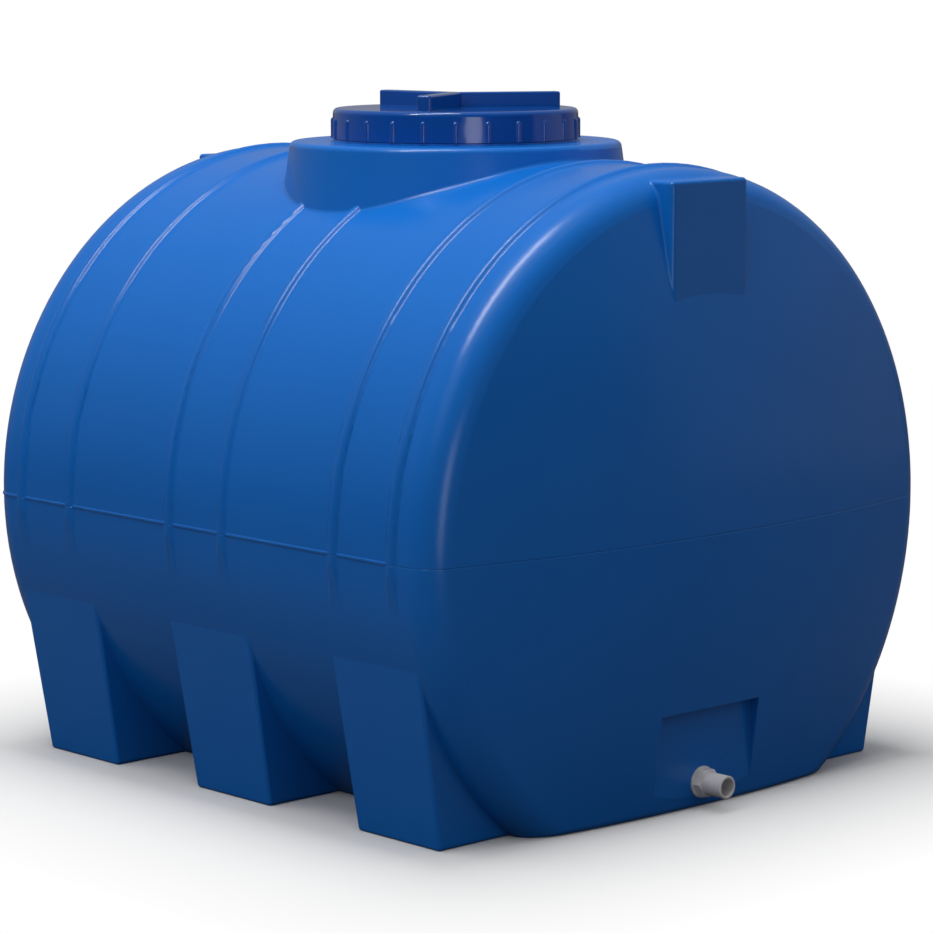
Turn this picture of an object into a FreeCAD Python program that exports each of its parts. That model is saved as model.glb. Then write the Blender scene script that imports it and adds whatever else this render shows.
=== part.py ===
# A 750 litre horizontal water tank for livestock: a moulded shell lying on six feet, with a screw lid on
# a raised neck and a 1 inch outlet at the bottom of one end. Millimetres, +Z up. The tank's length lies
# along Y, with the outlet end facing -Y. The origin is on the floor, under the middle of the tank.
import FreeCAD, Part
import functools
import math
import os

from FreeCAD import Vector

os.makedirs("parts", exist_ok=True)

# Driving dimensions of the tank body
BODY_R = 500.0              # outside radius of the barrel
FLOOR_CUT = 105.1           # how much of the barrel's underside the flat floor takes away
AXIS_Z = BODY_R - FLOOR_CUT
HALF_LENGTH = 538.0         # from the middle to the crown of an end
DOME_R = 2100.0             # radius of the domed ends
END_EDGE_R = 50.0           # rounding between barrel and end
WALL = 6.0                  # thickness of the moulded wall
SOLE_EDGE_R = 10.0          # rounding between barrel and floor

# Round bead left where the halves of the mould meet
SEAM_BELOW_AXIS = 1.5
SEAM_R = 2.7
SEAM_PROUD = 1.5

# Feet, three on each side
FEET_PER_SIDE = 3
FOOT_HALF_BASE = 82.4       # half width on the floor
FOOT_HALF_TOP = 88.5        # half width where the foot leaves the barrel
FOOT_INSET = 63.5           # from the barrel's widest point to the foot's outer face on the floor
FOOT_BASE_X = BODY_R - FOOT_INSET
FOOT_TOP_BELOW_AXIS = 145.4
FOOT_TOP_Z = AXIS_Z - FOOT_TOP_BELOW_AXIS   # where the outer face leaves the barrel
FOOT_END_GAP = 104.9        # from the crown of an end to the last foot
FOOT_PITCH = 2 * (HALF_LENGTH - FOOT_END_GAP - FOOT_HALF_BASE) / (FEET_PER_SIDE - 1)
FOOT_EDGE_R = 5.0           # rounding of the upright edges
FOOT_SOLE_R = 5.0           # rounding of the edges on the floor

# Ribs round the barrel, a pair over each row of feet
RIB_OFFSET = 58.5           # from the middle of a foot to a rib
RIB_WIDTH = 25.0            # from hollow rounding to hollow rounding
RIB_HEIGHT = 5.5
RIB_TOP_SHARE = 0.55        # how much of its curve is the rounded top
RIB_END_ANGLE = 10.0        # degrees below the axis where a rib has faded out
RIB_SINK = 0.05             # how far the hollow roundings dip into the barrel

# Lifting lug at the top of each end
LUG_HALF_WIDTH = 75.4
LUG_SETBACK = 26.1          # from the crown of the end to the lug's face
LUG_FACE_Y = HALF_LENGTH - LUG_SETBACK
LUG_BELOW_TOP = 13.1        # from the top of the barrel to the top of the lug
LUG_TOP_Z = AXIS_Z + BODY_R - LUG_BELOW_TOP
LUG_BLOCK_HEIGHT = 281.9    # its face meets the dome well above this block's lower end
LUG_EDGE_R = 7.0            # rounding of the upright edges
LUG_TOP_EDGE_R = 5.0
LUG_BLEND_R = 4.0

# Neck
NECK_TOP_R = 243.6
NECK_RISE = 23.2            # above the top of the barrel
NECK_TOP_Z = AXIS_Z + BODY_R + NECK_RISE
NECK_DRAFT = 8.0            # degrees, wider downwards
NECK_EDGE_R = 9.0
NECK_BLEND_R = 6.0

# Outlet recess and outlet
RECESS_HALF_WIDTH = 99.0
RECESS_TOP_Z = 146.0
OUTLET_Z = 37.0
RECESS_DEPTH = 3.277        # from the domed end to the flat face, at the outlet's height
DOME_FALL = DOME_R - math.sqrt(DOME_R ** 2 - (AXIS_Z - OUTLET_Z) ** 2)
RECESS_FACE_Y = HALF_LENGTH - DOME_FALL - RECESS_DEPTH
OUTLET_R = 16.6             # thread, 1 inch pipe size
SPIGOT_R = 16.4             # free end, past the nut
SPIGOT_CHAMFER = 1.0
OUTLET_BORE_R = 13.0
OUTLET_REACH = 49.0         # from the flat face to the spigot's end
OUTLET_END_Y = RECESS_FACE_Y + OUTLET_REACH
OUTLET_HOLE_CLEARANCE = 0.4
BOSS_R = 29.0               # thick pad round the outlet hole, inside the wall
BOSS_THICKNESS = 10.0
OUTLET_FLANGE_R = 26.0
OUTLET_FLANGE_THICKNESS = 5.0
OUTLET_GASKET_THICKNESS = 2.5
NUT_FLANGE_R = 22.8
NUT_FLANGE_THICKNESS = 3.5
NUT_ACROSS_FLATS = 37.0
NUT_HEIGHT = 15.5           # flange and hexagon together
NUT_BEVEL = 2.4             # height of the bevel on the hexagon's corners
NUT_CLEARANCE = 0.05
NUT_STAND_IN = 0.5          # thread that shows past the nut

# Threaded ring moulded into the neck
RING_BORE_R = 160.0
RING_WALL = 11.6
RING_OUTER_R = RING_BORE_R + RING_WALL
RING_FLANGE_WIDTH = 9.4
RING_FLANGE_R = RING_OUTER_R + RING_FLANGE_WIDTH
RING_FLANGE_THICKNESS = 3.0
RING_CLAMP_THICKNESS = 4.0  # lower flange, under the top of the neck
RING_CLEARANCE = 0.2

# Lid
LID_THREAD_SPACE = 4.7      # between the ring's wall and the inside of the skirt
LID_INNER_R = RING_OUTER_R + LID_THREAD_SPACE
LID_SKIRT = 5.4             # thickness of the skirt at its rim
LID_R = LID_INNER_R + LID_SKIRT
LID_DRAFT = 1.2             # the skirt is this much slimmer at the top
LID_LIFT = 0.7              # from the ring's flange to the skirt
LID_BOTTOM_Z = NECK_TOP_Z + RING_FLANGE_THICKNESS + LID_LIFT
LID_HEIGHT = 44.2
LID_TOP_Z = LID_BOTTOM_Z + LID_HEIGHT
LID_EDGE_R = 7.0
LID_CROWN = 5.0             # thickness of the top
GRIP_COUNT = 24
GRIP_WIDTH = 8.0
GRIP_PROUD = 2.2
GRIP_BELOW_TOP = 13.5
GRIP_TOP_Z = LID_TOP_Z - GRIP_BELOW_TOP
GRIP_START_ANGLE = 2.0      # degrees from +X to the first grip
ARM_COUNT = 3
ARM_MARGIN = 24.7           # from an arm's end to the edge of the lid
ARM_LENGTH = LID_R - ARM_MARGIN
ARM_WIDTH = 21.5
ARM_HEIGHT = 22.5
ARM_EDGE_R = 3.5
ARM_START_ANGLE = 90.0      # degrees from +X to the first arm

# Lid gasket
GASKET_THICKNESS = 4.0
GASKET_MARGIN = 0.6         # from the ring's wall edges to the gasket's edges
RING_TOP_Z = LID_TOP_Z - LID_CROWN - GASKET_THICKNESS

# Thread between ring and lid
THREAD_PITCH = 10.0
THREAD_TURNS = 1.0
THREAD_BASE = 4.6           # height of a ridge where it meets its wall
THREAD_TIP = 2.6
THREAD_CREST_GAP = 0.6
THREAD_FLANK_GAP = 0.4
THREAD_ROOT = 1.0           # how deep a ridge is bedded in its wall
THREAD_START_RISE = 7.9     # from the ring's flange to the middle of its ridge at the lower end
THREAD_START_Z = NECK_TOP_Z + RING_FLANGE_THICKNESS + THREAD_START_RISE
THREAD_START_ANGLE = 15.0   # degrees from +X to the ridge's lower end

# Breather in the lid
VENT_DISTANCE = 85.0        # from the middle of the lid
VENT_ANGLE = 40.0           # degrees from +X
VENT_BORE_R = 10.0
VENT_BUSH_R = 13.0
VENT_FLANGE_R = 18.0
VENT_FLANGE_THICKNESS = 2.0
VENT_HOLE_CLEARANCE = 0.1
VENT_BUSH_DEPTH = 6.0       # below the underside of the lid
VENT_CLIP = 1.2             # how far the clip rim under the lid stands out
VENT_CLIP_HEIGHT = 2.0
VENT_CAP_R = 20.0
VENT_CAP_HEIGHT = 8.5       # above the lid
VENT_CAP_WALL = 1.6
VENT_POST_COUNT = 4
VENT_POST_R = 1.8
VENT_GAP = 1.5              # air gap between lid and the cap's rim
SCREEN_THICKNESS = 0.8
SCREEN_HOLE = 2.0
SCREEN_WEB = 1.2

UP = Vector(0, 0, 1)
ALONG = Vector(0, 1, 0)
AXIS_POINT = Vector(0, 0, AXIS_Z)
SPLIT_ANGLE = 25.0          # turns the line where a round surface closes away from other features
DEEP = 150.0                # how far joined blocks reach into the body
FAR = 2000.0                # larger than the whole tank


def box(x0, x1, y0, y1, z0, z1):
    return Part.makeBox(x1 - x0, y1 - y0, z1 - z0, Vector(x0, y0, z0))


def upright(radius, z0, z1, x=0.0, y=0.0):
    return Part.makeCylinder(radius, z1 - z0, Vector(x, y, z0), UP)


def outward(radius, y0, y1):
    """A cylinder on the outlet's axis, from y0 out to y1, both measured towards -Y."""
    return Part.makeCylinder(radius, y1 - y0, Vector(0, -y0, OUTLET_Z), Vector(0, -1, 0))


def edges_where(shape, test):
    return [edge for edge in shape.Edges if test(edge)]


def both_ends(edge, test):
    return len(edge.Vertexes) == 2 and all(test(vertex.Point) for vertex in edge.Vertexes)


def near(a, b):
    return abs(a - b) < 0.01


def smallest_rounding(radius, inset):
    """The radius that is left inside a wall, never quite sharp."""
    return max(radius - inset, 0.2 * radius)


def barrel(inset):
    """The barrel with its domed ends, every face moved inwards by inset."""
    dome = DOME_R - inset
    crown = HALF_LENGTH - inset
    reach = crown + DEEP
    form = Part.makeCylinder(BODY_R - inset, 2 * reach, Vector(0, -reach, AXIS_Z), ALONG)
    form.rotate(AXIS_POINT, ALONG, SPLIT_ANGLE)
    for side in (-1, 1):
        form = form.common(Part.makeSphere(dome, Vector(0, side * (crown - dome), AXIS_Z)))
    rims = edges_where(form, lambda e: e.Closed)
    return form.makeFillet(END_EDGE_R - inset, rims)


def foot(side, middle_y, inset):
    """One foot: a block that leans in towards the floor and reaches into the barrel."""
    top_z = FOOT_TOP_Z + DEEP / 5
    top_x = math.sqrt(BODY_R ** 2 - (AXIS_Z - FOOT_TOP_Z) ** 2)
    slope = (top_x - FOOT_BASE_X) / FOOT_TOP_Z
    flare = (FOOT_HALF_TOP - FOOT_HALF_BASE) / FOOT_TOP_Z
    inner_x = FOOT_BASE_X - 1.5 * DEEP

    def level(z):
        half = FOOT_HALF_BASE + flare * z - inset
        outer = FOOT_BASE_X + slope * z - inset
        corners = [(inner_x, -half), (outer, -half), (outer, half), (inner_x, half)]
        points = [Vector(side * x, middle_y + y, z) for x, y in corners]
        return Part.makePolygon(points + points[:1])

    block = Part.makeLoft([level(inset), level(top_z)], True, True)
    outer_upright = edges_where(block, lambda e: both_ends(
        e, lambda p: abs(p.x) > FOOT_BASE_X - inset - 0.01) and not near(e.Vertexes[0].Z, e.Vertexes[1].Z))
    block = block.makeFillet(smallest_rounding(FOOT_EDGE_R, inset), outer_upright)
    sole = edges_where(block, lambda e: both_ends(e, lambda p: near(p.z, inset))
                       and not both_ends(e, lambda p: near(abs(p.x), inner_x)))
    return block.makeFillet(smallest_rounding(FOOT_SOLE_R, inset), sole)


def foot_rows():
    """Where the rows of feet lie along the tank."""
    return [FOOT_PITCH * (row - (FEET_PER_SIDE - 1) / 2) for row in range(FEET_PER_SIDE)]


def lug(end, inset):
    """The block at the top of an end, with its outer edges rounded."""
    half = LUG_HALF_WIDTH - inset
    face = LUG_FACE_Y - inset
    top = LUG_TOP_Z - inset
    low = LUG_TOP_Z - LUG_BLOCK_HEIGHT
    block = box(-half, half, face - 0.75 * DEEP, face, low, top)
    corners = edges_where(block, lambda e: both_ends(e, lambda p: near(p.y, face))
                          and near(e.Vertexes[0].X, e.Vertexes[1].X))
    block = block.makeFillet(smallest_rounding(LUG_EDGE_R, inset), corners)
    ridge = edges_where(block, lambda e: both_ends(e, lambda p: near(p.z, top))
                        and not both_ends(e, lambda p: near(p.y, face - 0.75 * DEEP)))
    block = block.makeFillet(smallest_rounding(LUG_TOP_EDGE_R, inset), ridge)
    if end < 0:
        block = block.mirror(Vector(0, 0, 0), ALONG)
    return block


def neck(inset):
    """The raised round neck, wider downwards, with a rounded top edge."""
    lean = math.tan(math.radians(NECK_DRAFT))
    top = NECK_TOP_Z - inset
    bottom = NECK_TOP_Z - DEEP
    top_r = NECK_TOP_R - inset
    bottom_r = NECK_TOP_R + (NECK_TOP_Z - bottom) * lean - inset
    cone = Part.makeCone(bottom_r, top_r, top - bottom, Vector(0, 0, bottom), UP)
    rim = edges_where(cone, lambda e: e.Closed and near(e.Vertexes[0].Z, top))
    return cone.makeFillet(smallest_rounding(NECK_EDGE_R, inset), rim)


def recess(inset):
    """What the flat recess round the outlet takes off the end."""
    half = RECESS_HALF_WIDTH + inset
    return box(-half, half, -FAR, -(RECESS_FACE_Y - inset), -FAR, RECESS_TOP_Z + inset)


def joint_edges(form, block, joined):
    """The edges of joined that lie on the faces of both form and block."""
    found = []
    for edge in joined.Edges:
        middle = Part.Vertex(edge.valueAt((edge.FirstParameter + edge.LastParameter) / 2))
        gaps = [middle.distToShape(solid.Shells[0])[0] for solid in (form, block)]
        if max(gaps) < 0.01:
            found.append(edge)
    return found


def grown(form, block, blend_r):
    """form with block moulded on, and the line where they meet rounded."""
    joined = form.fuse(block)
    return joined.makeFillet(blend_r, joint_edges(form, block, joined))


def barrel_on_floor(inset):
    """The barrel cut flat where it lies on the floor."""
    form = barrel(inset).common(box(-FAR, FAR, -FAR, FAR, inset, FAR))
    edge = edges_where(form, lambda e: both_ends(e, lambda p: near(p.z, inset)))
    return form.makeFillet(smallest_rounding(SOLE_EDGE_R, inset), edge)


def outside_form():
    form = grown(barrel_on_floor(0.0), neck(0.0), NECK_BLEND_R)
    for end in (-1, 1):
        form = grown(form, lug(end, 0.0), LUG_BLEND_R)
    blocks = [foot(side, row, 0.0) for side in (-1, 1) for row in foot_rows()]
    blocks += [rib(row + offset) for row in foot_rows() for offset in (-RIB_OFFSET, RIB_OFFSET)]
    return form.fuse(blocks).cut(recess(0.0)).fuse(seam())


def inside_form():
    """The hollow, a wall's thickness inside the outside form. Ribs and seam don't show in it."""
    blocks = [foot(side, row, WALL) for side in (-1, 1) for row in foot_rows()]
    blocks += [lug(end, WALL) for end in (-1, 1)]
    form = grown(barrel_on_floor(WALL), neck(WALL), NECK_BLEND_R + WALL)
    return form.fuse(blocks).cut(recess(WALL))


def rib(y):
    """A rounded rib over the barrel that fades out at both ends."""
    half = RIB_WIDTH / 2
    turn = 2 * math.atan(RIB_HEIGHT / half)
    both_r = half / math.sin(turn)
    top_r = both_r * RIB_TOP_SHARE
    foot_r = both_r - top_r
    start = math.radians(-RIB_END_ANGLE)

    def at(offset, r):
        return Vector(r * math.cos(start), y + offset, AXIS_Z + r * math.sin(start))

    def side_curve(side, share):
        angle = turn * share
        return at(side * (half - foot_r * math.sin(angle)), BODY_R + foot_r * (1 - math.cos(angle)) - RIB_SINK)

    def top_curve(share):
        angle = turn * share
        return at(top_r * math.sin(angle), BODY_R + RIB_HEIGHT - top_r * (1 - math.cos(angle)) - RIB_SINK)

    outline = [Part.Arc(side_curve(1, 0), side_curve(1, 0.5), side_curve(1, 1)).toShape(),
               Part.Arc(top_curve(1), top_curve(0), top_curve(-1)).toShape(),
               Part.Arc(side_curve(-1, 1), side_curve(-1, 0.5), side_curve(-1, 0)).toShape()]
    root = BODY_R - WALL / 2
    outline += Part.makePolygon([side_curve(-1, 0), at(-half, root), at(half, root), side_curve(1, 0)]).Edges
    face = Part.Face(Part.Wire(Part.__sortEdges__(outline)))
    band = face.revolve(AXIS_POINT, Vector(0, -1, 0), 180 + 2 * RIB_END_ANGLE)
    for side in (-1, 1):
        band = band.cut(rib_runout(side, y))
    return band


def rib_runout(side, y):
    """A block whose face touches the barrel where the rib ends, so that the rib fades out there."""
    size = BODY_R / 2
    block = box(BODY_R, BODY_R + size, y - size, y + size, -size, size)
    block.rotate(Vector(0, 0, 0), ALONG, RIB_END_ANGLE)
    block.translate(AXIS_POINT)
    if side < 0:
        block = block.mirror(Vector(0, 0, 0), Vector(1, 0, 0))
    return block


def seam():
    """The round bead where the halves of the mould met, all round the barrel just under its axis."""
    height = AXIS_Z - SEAM_BELOW_AXIS
    depth = SEAM_R - SEAM_PROUD
    level = barrel(depth).slice(Vector(0, 0, 1), height)[0]
    start = Vector(BODY_R - depth, 0, height)
    section = Part.Wire(Part.makeCircle(SEAM_R, start, ALONG))
    sweep = Part.BRepOffsetAPI.MakePipeShell(level)
    sweep.add(section)
    sweep.build()
    sweep.makeSolid()
    return sweep.shape()


def air_space():
    """Everything that is empty in the shell: its hollow, less the outlet's boss, and its two holes."""
    hollow = inside_form()
    print("litres held below the neck ring", round(hollow.Volume / 1e6))
    hollow = hollow.cut(outward(BOSS_R, outlet_boss_face(), RECESS_FACE_Y - WALL / 2))
    outlet_hole = outward(OUTLET_R + OUTLET_HOLE_CLEARANCE, RECESS_FACE_Y - 3 * WALL, RECESS_FACE_Y + WALL)
    neck_hole = upright(RING_OUTER_R + RING_CLEARANCE, NECK_TOP_Z - 3 * WALL, NECK_TOP_Z + WALL)
    return hollow.fuse([outlet_hole, neck_hole])


@functools.lru_cache(maxsize=1)
def whole_shell():
    return outside_form().cut(air_space())


def shell_upper():
    """The shell above the mould's parting line."""
    return whole_shell().common(box(-FAR, FAR, -FAR, FAR, AXIS_Z - SEAM_BELOW_AXIS, FAR))


def shell_lower():
    """The shell below the mould's parting line."""
    return whole_shell().common(box(-FAR, FAR, -FAR, FAR, -FAR, AXIS_Z - SEAM_BELOW_AXIS))


def thread_ridge(root_r, crest_r, start_z):
    """A right-hand ridge, root_r bedded in its wall and crest_r at its tip."""
    helix = Part.makeHelix(THREAD_PITCH, THREAD_PITCH * THREAD_TURNS, root_r)
    helix.translate(Vector(0, 0, start_z))
    half_base = THREAD_BASE / 2
    half_tip = THREAD_TIP / 2
    points = [Vector(root_r, 0, start_z - half_base), Vector(crest_r, 0, start_z - half_tip),
              Vector(crest_r, 0, start_z + half_tip), Vector(root_r, 0, start_z + half_base)]
    sweep = Part.BRepOffsetAPI.MakePipeShell(Part.Wire(helix.Edges))
    sweep.setFrenetMode(True)
    sweep.add(Part.makePolygon(points + points[:1]))
    sweep.build()
    sweep.makeSolid()
    ridge = sweep.shape()
    ridge.rotate(Vector(0, 0, 0), UP, THREAD_START_ANGLE)
    return ridge


def neck_ring():
    """The ring's wall, its two flanges on the top of the neck, and its thread."""
    under = NECK_TOP_Z - WALL
    ring = upright(RING_OUTER_R, under - RING_CLAMP_THICKNESS, RING_TOP_Z)
    ring = ring.fuse(upright(RING_FLANGE_R, NECK_TOP_Z, NECK_TOP_Z + RING_FLANGE_THICKNESS))
    ring = ring.fuse(upright(RING_FLANGE_R, under - RING_CLAMP_THICKNESS, under))
    ring = ring.cut(upright(RING_BORE_R, 0, FAR))
    crest = LID_INNER_R - THREAD_CREST_GAP
    return ring.fuse(thread_ridge(RING_OUTER_R - THREAD_ROOT, crest, THREAD_START_Z))


def lid():
    skirt = Part.makeCone(LID_R, LID_R - LID_DRAFT, LID_TOP_Z - LID_BOTTOM_Z, Vector(0, 0, LID_BOTTOM_Z), UP)
    rim = edges_where(skirt, lambda e: e.Closed and near(e.Vertexes[0].Z, LID_TOP_Z))
    body = skirt.makeFillet(LID_EDGE_R, rim)
    body = body.fuse([grip(index) for index in range(GRIP_COUNT)])
    body = body.fuse(handle())
    body = body.cut(upright(LID_INNER_R, LID_BOTTOM_Z - WALL, LID_TOP_Z - LID_CROWN))
    flank = (THREAD_BASE + THREAD_TIP) / 2 + THREAD_FLANK_GAP
    crest = RING_OUTER_R + THREAD_CREST_GAP
    body = body.fuse(thread_ridge(LID_INNER_R + THREAD_ROOT, crest, THREAD_START_Z - flank))
    x, y = vent_place()
    return body.cut(upright(VENT_BUSH_R + VENT_HOLE_CLEARANCE, LID_TOP_Z - 2 * LID_CROWN, LID_TOP_Z + 1, x, y))


def grip(index):
    """One upright finger grip with a round top."""
    bead_r = (GRIP_WIDTH ** 2 / 4 + GRIP_PROUD ** 2) / (2 * GRIP_PROUD)
    angle = math.radians(GRIP_START_ANGLE + index * 360 / GRIP_COUNT)
    middle = LID_R + GRIP_PROUD - bead_r
    x = middle * math.cos(angle)
    y = middle * math.sin(angle)
    stem = upright(bead_r, LID_BOTTOM_Z, GRIP_TOP_Z - bead_r, x, y)
    return stem.fuse(Part.makeSphere(bead_r, Vector(x, y, GRIP_TOP_Z - bead_r)))


def handle():
    """Three arms across the top of the lid."""
    half = ARM_WIDTH / 2
    star = None
    for index in range(ARM_COUNT):
        arm = box(-half, ARM_LENGTH, -half, half, LID_TOP_Z - LID_CROWN / 2, LID_TOP_Z + ARM_HEIGHT)
        arm.rotate(Vector(0, 0, 0), UP, ARM_START_ANGLE + index * 360 / ARM_COUNT)
        star = arm if star is None else star.fuse(arm)
    star = star.removeSplitter()
    top = LID_TOP_Z + ARM_HEIGHT
    tips = edges_where(star, lambda e: not near(e.Vertexes[0].Z, e.Vertexes[-1].Z)
                       and math.hypot(e.Vertexes[0].X, e.Vertexes[0].Y) > ARM_LENGTH / 2)
    star = star.makeFillet(ARM_EDGE_R, tips)
    upper = edges_where(star, lambda e: both_ends(e, lambda p: near(p.z, top)))
    return star.makeFillet(ARM_EDGE_R * 0.8, upper)


def lid_gasket():
    outer = upright(RING_OUTER_R - GASKET_MARGIN, RING_TOP_Z, LID_TOP_Z - LID_CROWN)
    return outer.cut(upright(RING_BORE_R + GASKET_MARGIN, 0, FAR))


def vent_place():
    angle = math.radians(VENT_ANGLE)
    return VENT_DISTANCE * math.cos(angle), VENT_DISTANCE * math.sin(angle)


def vent_body():
    """The breather's bush, with a flange on the lid, a clip rim under it and a ledge for the screen."""
    x, y = vent_place()
    under = LID_TOP_Z - LID_CROWN
    bottom = under - VENT_BUSH_DEPTH
    bush = upright(VENT_BUSH_R, bottom, LID_TOP_Z, x, y)
    bush = bush.fuse(upright(VENT_FLANGE_R, LID_TOP_Z, LID_TOP_Z + VENT_FLANGE_THICKNESS, x, y))
    bush = bush.fuse(upright(VENT_BUSH_R + VENT_CLIP, under - VENT_CLIP_HEIGHT, under, x, y))
    bush = bush.cut(upright(VENT_BORE_R, 0, FAR, x, y))
    ledge_top = LID_TOP_Z - SCREEN_THICKNESS
    seat = upright(VENT_BORE_R + 1, ledge_top, FAR, x, y)
    return bush.cut(seat)


def vent_screen():
    """A disc of fine mesh that keeps insects out."""
    x, y = vent_place()
    disc = upright(VENT_BORE_R + 1 - VENT_HOLE_CLEARANCE, LID_TOP_Z - SCREEN_THICKNESS, LID_TOP_Z, x, y)
    step = SCREEN_HOLE + SCREEN_WEB
    reach = int(VENT_BORE_R / step)
    half = SCREEN_HOLE / 2
    holes = []
    for row in range(-reach, reach + 1):
        for column in range(-reach, reach + 1):
            if math.hypot(row, column) * step + SCREEN_HOLE < VENT_BORE_R:
                a = x + row * step
                b = y + column * step
                holes.append(box(a - half, a + half, b - half, b + half, LID_TOP_Z - 2, LID_TOP_Z + 1))
    return disc.cut(holes)


def vent_cap():
    """The rain cap, on four posts that stand on the bush's flange."""
    x, y = vent_place()
    rim = LID_TOP_Z + VENT_FLANGE_THICKNESS + VENT_GAP
    top = LID_TOP_Z + VENT_CAP_HEIGHT
    cap = upright(VENT_CAP_R, rim, top, x, y)
    edge = edges_where(cap, lambda e: e.Closed and near(e.Vertexes[0].Z, top))
    cap = cap.makeFillet((top - rim) * 0.6, edge)
    cap = cap.cut(upright(VENT_CAP_R - VENT_CAP_WALL, rim - 1, top - VENT_CAP_WALL, x, y))
    post_ring = (VENT_BORE_R + 1 + VENT_FLANGE_R) / 2
    for index in range(VENT_POST_COUNT):
        angle = 2 * math.pi * index / VENT_POST_COUNT
        px = x + post_ring * math.cos(angle)
        py = y + post_ring * math.sin(angle)
        cap = cap.fuse(upright(VENT_POST_R, LID_TOP_Z + VENT_FLANGE_THICKNESS, top - VENT_CAP_WALL / 2, px, py))
    return cap


def outlet_boss_face():
    """Where the inner flange's gasket lies, measured towards -Y."""
    return RECESS_FACE_Y - BOSS_THICKNESS


def outlet_body():
    """The outlet's tube with its flange inside the tank."""
    flange_end = outlet_boss_face() - OUTLET_GASKET_THICKNESS
    flange_start = flange_end - OUTLET_FLANGE_THICKNESS
    thread_end = RECESS_FACE_Y + NUT_HEIGHT + NUT_STAND_IN
    spigot = outward(SPIGOT_R, flange_start, OUTLET_END_Y)
    end_edge = edges_where(spigot, lambda e: e.Closed and near(e.Vertexes[0].Y, -OUTLET_END_Y))
    tube = spigot.makeChamfer(SPIGOT_CHAMFER, end_edge)
    tube = tube.fuse(outward(OUTLET_R, flange_start, thread_end))
    tube = tube.fuse(outward(OUTLET_FLANGE_R, flange_start, flange_end))
    return tube.cut(outward(OUTLET_BORE_R, flange_start - 1, OUTLET_END_Y + 1))


def outlet_gasket():
    start = outlet_boss_face() - OUTLET_GASKET_THICKNESS
    ring = outward(OUTLET_FLANGE_R, start, outlet_boss_face())
    return ring.cut(outward(OUTLET_R + NUT_CLEARANCE, start - 1, outlet_boss_face() + 1))


def outlet_nut():
    """The nut outside the wall: a round flange and a bevelled hexagon."""
    flange_end = RECESS_FACE_Y + NUT_FLANGE_THICKNESS
    end = RECESS_FACE_Y + NUT_HEIGHT
    corner_r = NUT_ACROSS_FLATS / math.sqrt(3)
    points = []
    for index in range(7):
        angle = math.radians(60 * index)
        points.append(Vector(corner_r * math.cos(angle), -flange_end, OUTLET_Z + corner_r * math.sin(angle)))
    hexagon = Part.Face(Part.makePolygon(points)).extrude(Vector(0, flange_end - end, 0))
    reach = NUT_HEIGHT - NUT_FLANGE_THICKNESS
    bevel_slope = (corner_r - NUT_ACROSS_FLATS / 2) / NUT_BEVEL
    cone = Part.makeCone(corner_r + (reach - NUT_BEVEL) * bevel_slope, corner_r - NUT_BEVEL * bevel_slope,
                         reach, Vector(0, -flange_end, OUTLET_Z), Vector(0, -1, 0))
    nut = hexagon.common(cone)
    disc = outward(NUT_FLANGE_R, RECESS_FACE_Y, flange_end)
    disc = disc.makeChamfer(1.2, edges_where(disc, lambda e: e.Closed and near(e.Vertexes[0].Y, -flange_end)))
    nut = nut.fuse(disc)
    return nut.cut(outward(OUTLET_R + NUT_CLEARANCE, RECESS_FACE_Y - 1, end + 1))


PIECES = {
    "shell_upper": shell_upper,
    "shell_lower": shell_lower,
    "neck_ring": neck_ring,
    "lid": lid,
    "lid_gasket": lid_gasket,
    "vent_body": vent_body,
    "vent_screen": vent_screen,
    "vent_cap": vent_cap,
    "outlet_body": outlet_body,
    "outlet_gasket": outlet_gasket,
    "outlet_nut": outlet_nut,
}


def main():
    for name, make in PIECES.items():
        shape = make()
        state = "valid" if shape.isValid() else "NOT VALID"
        print(name, state, len(shape.Solids), "solid,", round(shape.Volume / 1000), "cm3")
        shape.exportStep(f"parts/{name}.step")


main()
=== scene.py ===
"""Looks of a moulded plastic water tank: materials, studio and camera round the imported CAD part."""

import math

import bpy
from mathutils import Euler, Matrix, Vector

# Camera, fitted to the photograph
CAMERA_AT = (-3.46114, -3.70555, 1.15992)
CAMERA_YAW = 43.22
CAMERA_PITCH = -8.17
CAMERA_ROLL = -0.09
SENSOR_MM = 36.0
LENS_MM = 132.28
CAMERA_REACH = 100.0        # nothing further away is drawn

# Colours: a pair is the darkest and the lightest that a surface drifts between
WHITE = (1.0, 1.0, 1.0)
TANK_BLUES = ((0.003, 0.138, 0.54), (0.004, 0.148, 0.57))
TANK_WORN = (0.03, 0.23, 0.68)
LID_BLUES = ((0.001, 0.064, 0.31), (0.002, 0.070, 0.335))
VENT_BLUES = ((0.002, 0.06, 0.32), (0.003, 0.07, 0.36))
RING_BLUES = ((0.003, 0.12, 0.48), (0.004, 0.13, 0.52))
GLOSS_WORN = (0.06, 0.15, 0.42)
OUTLET_GREYS = ((0.68, 0.67, 0.685), (0.76, 0.755, 0.77))
# the grey that painted shade darkens the outlet's hollows towards
OUTLET_PAINTED_SHADE = (0.42, 0.41, 0.40)
RUBBER_BLACKS = ((0.012, 0.012, 0.013), (0.032, 0.032, 0.034))
SCREEN_BLACKS = ((0.006, 0.006, 0.007), (0.035, 0.035, 0.037))

# Room
AMBIENT = 0.38                      # what the world sends onto matt surfaces
ROOM_FRONT = 0.02                   # what gloss reflects of the room, on the camera's side
ROOM_BEHIND = 0.29                  # and behind and above the tank
ROOM_GLOW_AT = (0.35, 0.55, 0.76)   # the way to the middle of that glow
ROOM_GLOW_SPAN = (-0.2, 0.9)        # cosines to that way, between which the glow rises

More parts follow.
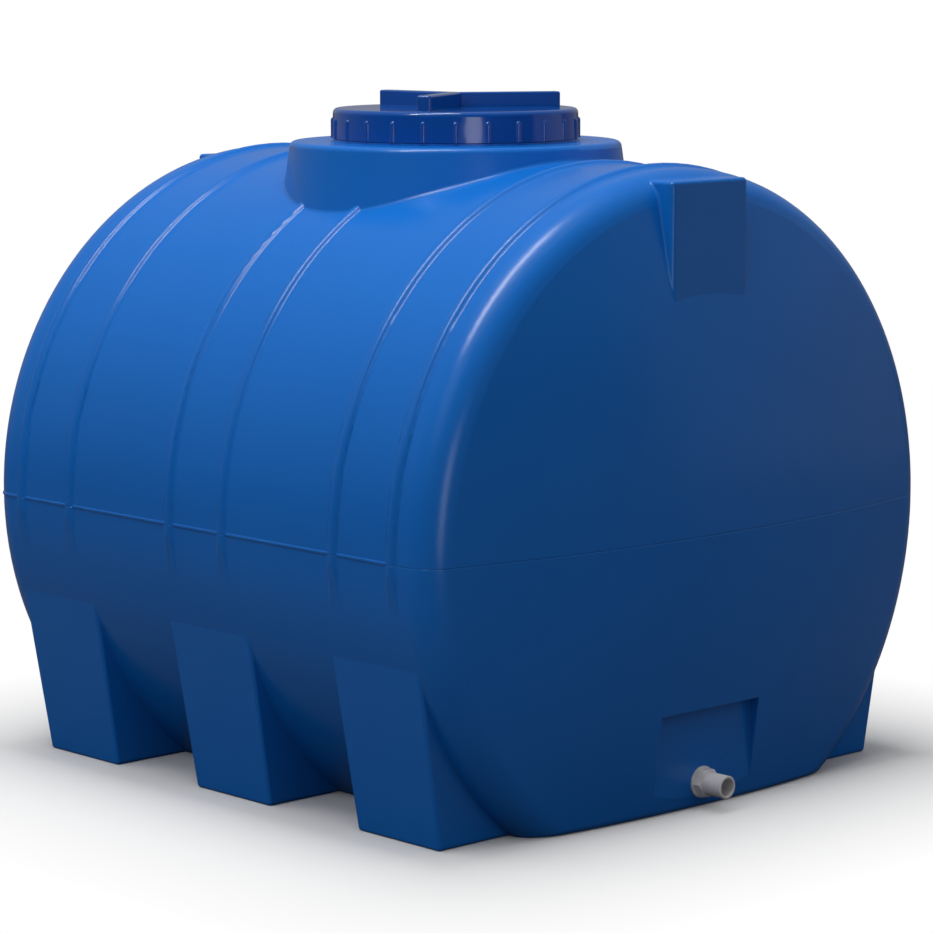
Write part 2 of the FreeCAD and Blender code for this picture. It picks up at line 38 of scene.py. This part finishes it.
# Floor
FLOOR_HALF = 30.0
FLOOR_NEAR = (0.48, 0.49)   # half sizes of the shaded patch of floor round the tank
FLOOR_WHITE_FROM = 0.42     # the floor is studio white this far outside that patch
FLOOR_FADE = 0.75           # below 1, the white comes in early
FLOOR_SEEN = 0.78           # how pale the floor is for the camera
FLOOR_BOUNCE = 0.09         # how pale the floor is for the light that it throws back
FLOOR_IN_GLOSS = 0.05       # what gloss reflects: 0 is FLOOR_BOUNCE, 1 is what the camera sees

# Where the lamps aim
TANK_MIDDLE = (0.0, 0.0, 0.5)
LID_FRONT = (0.0, 0.0, 0.9)

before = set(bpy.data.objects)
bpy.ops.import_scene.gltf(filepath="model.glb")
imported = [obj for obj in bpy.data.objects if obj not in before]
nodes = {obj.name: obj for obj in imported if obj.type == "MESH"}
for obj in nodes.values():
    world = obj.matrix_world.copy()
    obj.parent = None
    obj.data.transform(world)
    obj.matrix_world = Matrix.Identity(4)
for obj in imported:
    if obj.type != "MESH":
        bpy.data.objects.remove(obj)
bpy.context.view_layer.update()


def opaque(colour):
    return (*colour, 1.0)


# Node trees

class Tree:
    """The node tree of a world or a material, with short ways to add and join nodes."""

    def __init__(self, owner):
        owner.use_nodes = True
        self.nodes = owner.node_tree.nodes
        self.links = owner.node_tree.links

    def add(self, kind, inputs=None, **settings):
        node = self.nodes.new(kind)
        for name, value in settings.items():
            setattr(node, name, value)
        for name, value in (inputs or {}).items():
            self.put(value, node.inputs[name])
        return node

    def put(self, value, socket):
        if isinstance(value, bpy.types.NodeSocket):
            self.links.new(value, socket)
        else:
            socket.default_value = value

    def combine(self, first, second, operation):
        """One number from two, by the named operation."""
        node = self.add("ShaderNodeMath", operation=operation)
        self.put(first, node.inputs[0])
        self.put(second, node.inputs[1])
        return node.outputs[0]

    def vector(self, operation, first, second=None):
        node = self.add("ShaderNodeVectorMath", operation=operation)
        self.put(first, node.inputs[0])
        if second is not None:
            self.put(second, node.inputs[1])
        return node.outputs

    def spread(self, value, low, high, from_low=0.0, from_high=1.0, **settings):
        """The value's span, from_low to from_high, moved to the span from low to high."""
        node = self.add("ShaderNodeMapRange", {
            "Value": value, "From Min": from_low, "From Max": from_high, "To Min": low, "To Max": high},
            **settings)
        return node.outputs["Result"]

    def mix(self, factor, first, second, data_type="RGBA"):
        node = self.add("ShaderNodeMix", data_type=data_type)
        self.put(factor, node.inputs["Factor"])
        self.put(first, node.inputs["A"])
        self.put(second, node.inputs["B"])
        return node.outputs["Result"]


class Surface(Tree):
    """A material's tree, with the patterns and edges that the materials share."""

    def __init__(self, name):
        self.material = bpy.data.materials.new(name)
        super().__init__(self.material)
        self.shader = self.nodes["Principled BSDF"]
        self.place = self.add("ShaderNodeTexCoord").outputs["Object"]

    def finish(self, **values):
        """Sets or joins the shader's sockets, named with _ for each space."""
        for name, value in values.items():
            self.put(value, self.shader.inputs[name.replace("_", " ")])
        return self.material

    def noise(self, scale, detail=2.0, roughness=0.5, stretch=None):
        place = self.place
        if stretch:
            place = self.add("ShaderNodeMapping", {"Vector": place, "Scale": stretch}).outputs["Vector"]
        node = self.add("ShaderNodeTexNoise", {
            "Vector": place, "Scale": scale, "Detail": detail, "Roughness": roughness})
        return node.outputs["Fac"]

    def softened(self, radius):
        """Normals as they are where edges are rounded a little."""
        return self.add("ShaderNodeBevel", {"Radius": radius}, samples=6).outputs["Normal"]

    def bump(self, height, normal, distance, strength):
        node = self.add("ShaderNodeBump", {
            "Height": height, "Distance": distance, "Strength": strength, "Normal": normal})
        return node.outputs["Normal"]

    def drifting(self, drift, pair):
        dark, light = pair
        return self.mix(drift, opaque(dark), opaque(light))

    def edge_wear(self, radius, amount):
        """0 on open faces, up to amount along edges, broken up by noise."""
        true_normal = self.add("ShaderNodeNewGeometry").outputs["Normal"]
        agreement = self.vector("DOT_PRODUCT", self.softened(radius), true_normal)["Value"]
        edge = self.spread(agreement, 1.0, 0.0, from_low=0.9, from_high=0.995)
        patches = self.noise(scale=60.0, detail=4.0, roughness=0.7)
        patches = self.spread(patches, 0.0, 1.0, from_low=0.45, from_high=0.65)
        worn = self.combine(edge, patches, "MULTIPLY")
        return self.combine(worn, amount, "MULTIPLY")


# Materials

def blue_polyethylene():
    """The moulded tank: satin blue with a faint orange peel, slow waves and drifting colour."""
    tree = Surface("tank_polyethylene")
    drift = tree.spread(tree.noise(scale=2.6, detail=3.0), 0.0, 1.0, from_low=0.3, from_high=0.7)
    wear = tree.edge_wear(radius=0.004, amount=0.18)
    rounded = tree.softened(radius=0.0025)
    waves = tree.bump(tree.noise(scale=7.0, detail=1.0), rounded, distance=0.0022, strength=0.25)
    peel = tree.bump(tree.noise(scale=330.0), waves, distance=0.0003, strength=0.12)
    grain = tree.bump(tree.noise(scale=1500.0, detail=1.0), peel, distance=0.0001, strength=0.12)
    return tree.finish(
        Base_Color=tree.mix(wear, tree.drifting(drift, TANK_BLUES), opaque(TANK_WORN)),
        Roughness=tree.spread(tree.noise(scale=11.0, detail=4.0, roughness=0.6), 0.21, 0.29),
        Specular_IOR_Level=0.36,
        Normal=grain)


def gloss_blue(name, blues, smoothest, roughest):
    """Injection-moulded plastic: smooth, glossy, with faint flow marks and fine scratches."""
    tree = Surface(name)
    drift = tree.spread(tree.noise(scale=9.0, detail=3.0), 0.0, 1.0, from_low=0.3, from_high=0.7)
    wear = tree.edge_wear(radius=0.0016, amount=0.25)
    rounded = tree.softened(radius=0.0009)
    flow = tree.bump(tree.noise(scale=16.0, detail=1.0), rounded, distance=0.0009, strength=0.12)
    streaks = tree.noise(scale=60.0, roughness=0.6, stretch=(1.0, 22.0, 1.0))
    scratches = tree.bump(streaks, flow, distance=0.00006, strength=0.06)
    return tree.finish(
        Base_Color=tree.mix(wear, tree.drifting(drift, blues), opaque(GLOSS_WORN)),
        Roughness=tree.spread(tree.noise(scale=24.0, detail=5.0, roughness=0.7), smoothest, roughest),
        Coat_Weight=0.35,
        Coat_Roughness=0.05,
        Normal=scratches)


def seal_rubber():
    """Black EPDM rubber with a dusty bloom."""
    tree = Surface("seal_rubber")
    bloom = tree.noise(scale=85.0, detail=5.0, roughness=0.65)
    bloom = tree.spread(bloom, 0.0, 1.0, from_low=0.4, from_high=0.7)
    rounded = tree.softened(radius=0.0004)
    return tree.finish(
        Base_Color=tree.drifting(bloom, RUBBER_BLACKS),
        Roughness=tree.spread(bloom, 0.55, 0.78),
        Normal=tree.bump(tree.noise(scale=900.0), rounded, distance=0.0001, strength=0.3))


def woven_screen():
    """Fine black insect mesh."""
    tree = Surface("screen_mesh")
    threads = []
    for axis in ("X", "Y"):
        wave = tree.add("ShaderNodeTexWave", {"Vector": tree.place, "Scale": 260.0}, bands_direction=axis)
        threads.append(wave.outputs["Fac"])
    weave = tree.combine(*threads, "MAXIMUM")
    rounded = tree.softened(radius=0.0001)
    return tree.finish(
        Base_Color=tree.drifting(weave, SCREEN_BLACKS),
        Roughness=0.5,
        Normal=tree.bump(weave, rounded, distance=0.0002, strength=0.5))


def grey_outlet_plastic():
    """Light grey turned and moulded polypropylene, with painted shade darkening its hollows."""
    tree = Surface("outlet_polypropylene")
    drift = tree.noise(scale=70.0, detail=4.0, roughness=0.6)
    drift = tree.spread(drift, 0.0, 1.0, from_low=0.35, from_high=0.7)
    # painted shade: the outlet is darkened where ambient occlusion finds it hemmed in
    openness = tree.add("ShaderNodeAmbientOcclusion", {"Distance": 0.012}, samples=6).outputs["AO"]
    painted_shade = tree.spread(openness, 0.45, 0.0, from_low=0.2, from_high=0.8)
    turned = tree.noise(scale=40.0, stretch=(1.0, 30.0, 1.0))
    rounded = tree.softened(radius=0.0006)
    return tree.finish(
        Base_Color=tree.mix(painted_shade, tree.drifting(drift, OUTLET_GREYS), opaque(OUTLET_PAINTED_SHADE)),
        Roughness=tree.spread(drift, 0.3, 0.42),
        Normal=tree.bump(turned, rounded, distance=0.00008, strength=0.12))


def dress(material, *names):
    for name in names:
        mesh = nodes[name].data
        mesh.materials.clear()
        mesh.materials.append(material)


dress(blue_polyethylene(), "shell_upper", "shell_lower")
dress(gloss_blue("ring_polyethylene", RING_BLUES, smoothest=0.26, roughest=0.36), "neck_ring")
dress(gloss_blue("lid_polypropylene", LID_BLUES, smoothest=0.10, roughest=0.18), "lid")
dress(gloss_blue("vent_polypropylene", VENT_BLUES, smoothest=0.18, roughest=0.28), "vent_body", "vent_cap")
dress(woven_screen(), "vent_screen")
dress(grey_outlet_plastic(), "outlet_body", "outlet_nut")
dress(seal_rubber(), "lid_gasket", "outlet_gasket")


# Studio

def floor_material():
    """Pale near the tank, where it keeps the shadows, and studio white away from it."""
    tree = Surface("studio_floor")
    rays = tree.add("ShaderNodeLightPath").outputs
    seen = tree.combine(rays["Is Camera Ray"], rays["Is Transmission Ray"], "MAXIMUM")
    mirrored = tree.combine(rays["Is Glossy Ray"], FLOOR_IN_GLOSS, "MULTIPLY")
    seen = tree.combine(seen, mirrored, "MAXIMUM")
    bounce = opaque((FLOOR_BOUNCE,) * 3)
    pale = opaque((FLOOR_SEEN,) * 3)
    tree.finish(Base_Color=tree.mix(seen, bounce, pale), Roughness=0.9, Specular_IOR_Level=0.0)

    beside = tree.vector("ABSOLUTE", tree.place)["Vector"]
    past_patch = tree.vector("SUBTRACT", beside, (*FLOOR_NEAR, 0.0))["Vector"]
    outside = tree.vector("MAXIMUM", past_patch, (0.0, 0.0, 0.0))["Vector"]
    distance = tree.vector("LENGTH", outside)["Value"]
    fade = tree.spread(distance, 0.0, 1.0, from_high=FLOOR_WHITE_FROM)
    fade = tree.combine(fade, FLOOR_FADE, "POWER")
    backdrop = tree.add("ShaderNodeEmission", {"Color": opaque(WHITE), "Strength": 1.0})
    joined = tree.add("ShaderNodeMixShader", {"Fac": tree.combine(fade, seen, "MULTIPLY")})
    tree.links.new(tree.shader.outputs["BSDF"], joined.inputs[1])
    tree.links.new(backdrop.outputs["Emission"], joined.inputs[2])
    tree.links.new(joined.outputs["Shader"], tree.nodes["Material Output"].inputs["Surface"])
    return tree.material


def studio_floor():
    mesh = bpy.data.meshes.new("floor")
    half = FLOOR_HALF
    corners = ((-half, -half, 0.0), (half, -half, 0.0), (half, half, 0.0), (-half, half, 0.0))
    mesh.from_pydata(corners, [], [(0, 1, 2, 3)])
    mesh.materials.append(floor_material())
    floor = bpy.data.objects.new("floor", mesh)
    bpy.context.scene.collection.objects.link(floor)


def studio_world():
    """White for the camera, plain light for matt surfaces, and a dim room for gloss to reflect."""
    world = bpy.data.worlds.new("studio")
    bpy.context.scene.world = world
    tree = Tree(world)
    rays = tree.add("ShaderNodeLightPath").outputs
    way = tree.add("ShaderNodeTexCoord").outputs["Generated"]
    towards_glow = tree.vector("DOT_PRODUCT", way, Vector(ROOM_GLOW_AT).normalized())["Value"]
    glow = tree.spread(towards_glow, ROOM_FRONT, ROOM_BEHIND, *ROOM_GLOW_SPAN,
                       interpolation_type="SMOOTHSTEP")
    strength = tree.mix(rays["Is Glossy Ray"], AMBIENT, glow, "FLOAT")
    strength = tree.mix(rays["Is Transmission Ray"], strength, 1.0, "FLOAT")
    strength = tree.mix(rays["Is Camera Ray"], strength, 1.0, "FLOAT")
    background = tree.nodes["Background"]
    tree.put(strength, background.inputs["Strength"])
    tree.put(opaque(WHITE), background.inputs["Color"])


def softbox(name, lights, at, aim, size, radiance):
    """A flat white lamp of even brightness, which lights matt surfaces or shows in gloss.
    radiance is what its face shows, and 1 is white."""
    width, height = size
    lamp = bpy.data.lights.new(name, "AREA")
    lamp.shape = "RECTANGLE"
    lamp.size = width
    lamp.size_y = height
    lamp.energy = radiance * math.pi * width * height
    box = bpy.data.objects.new(name, lamp)
    bpy.context.scene.collection.objects.link(box)
    box.location = at
    box.rotation_euler = (Vector(aim) - Vector(at)).to_track_quat("-Z", "Y").to_euler()
    box.visible_camera = False
    box.visible_diffuse = lights == "matt"
    box.visible_glossy = lights == "gloss"


def studio_lights():
    softbox("key_above", "matt", at=(-0.6, 0.05, 4.0), aim=TANK_MIDDLE, size=(3.0, 3.0), radiance=3.75)
    softbox("strip_above", "gloss", at=(-1.2, 0.05, 3.9), aim=TANK_MIDDLE, size=(0.45, 2.6), radiance=19.0)
    softbox("left_above", "matt", at=(-3.4, -0.6, 2.9), aim=TANK_MIDDLE, size=(1.8, 1.8), radiance=2.6)
    softbox("front_window", "gloss", at=(-1.7, -3.35, 0.75), aim=LID_FRONT, size=(0.9, 1.3), radiance=2.4)
    softbox("right_card", "gloss", at=(3.4, -2.6, 0.9), aim=TANK_MIDDLE, size=(3.0, 2.6), radiance=0.22)


def studio_camera():
    data = bpy.data.cameras.new("photo_view")
    data.sensor_width = SENSOR_MM
    data.sensor_fit = "HORIZONTAL"
    data.lens = LENS_MM
    data.dof.use_dof = False
    data.clip_end = CAMERA_REACH
    camera = bpy.data.objects.new("photo_view", data)
    bpy.context.scene.collection.objects.link(camera)
    camera.location = CAMERA_AT
    level = Euler((math.radians(90.0 + CAMERA_PITCH), 0.0, math.radians(-CAMERA_YAW)), "XYZ").to_matrix()
    roll = Euler((0.0, 0.0, math.radians(CAMERA_ROLL)), "XYZ").to_matrix()
    camera.rotation_euler = (level @ roll).to_euler()
    bpy.context.scene.camera = camera


studio_floor()
studio_world()
studio_lights()
studio_camera()
bpy.context.scene.view_settings.view_transform = "Standard"
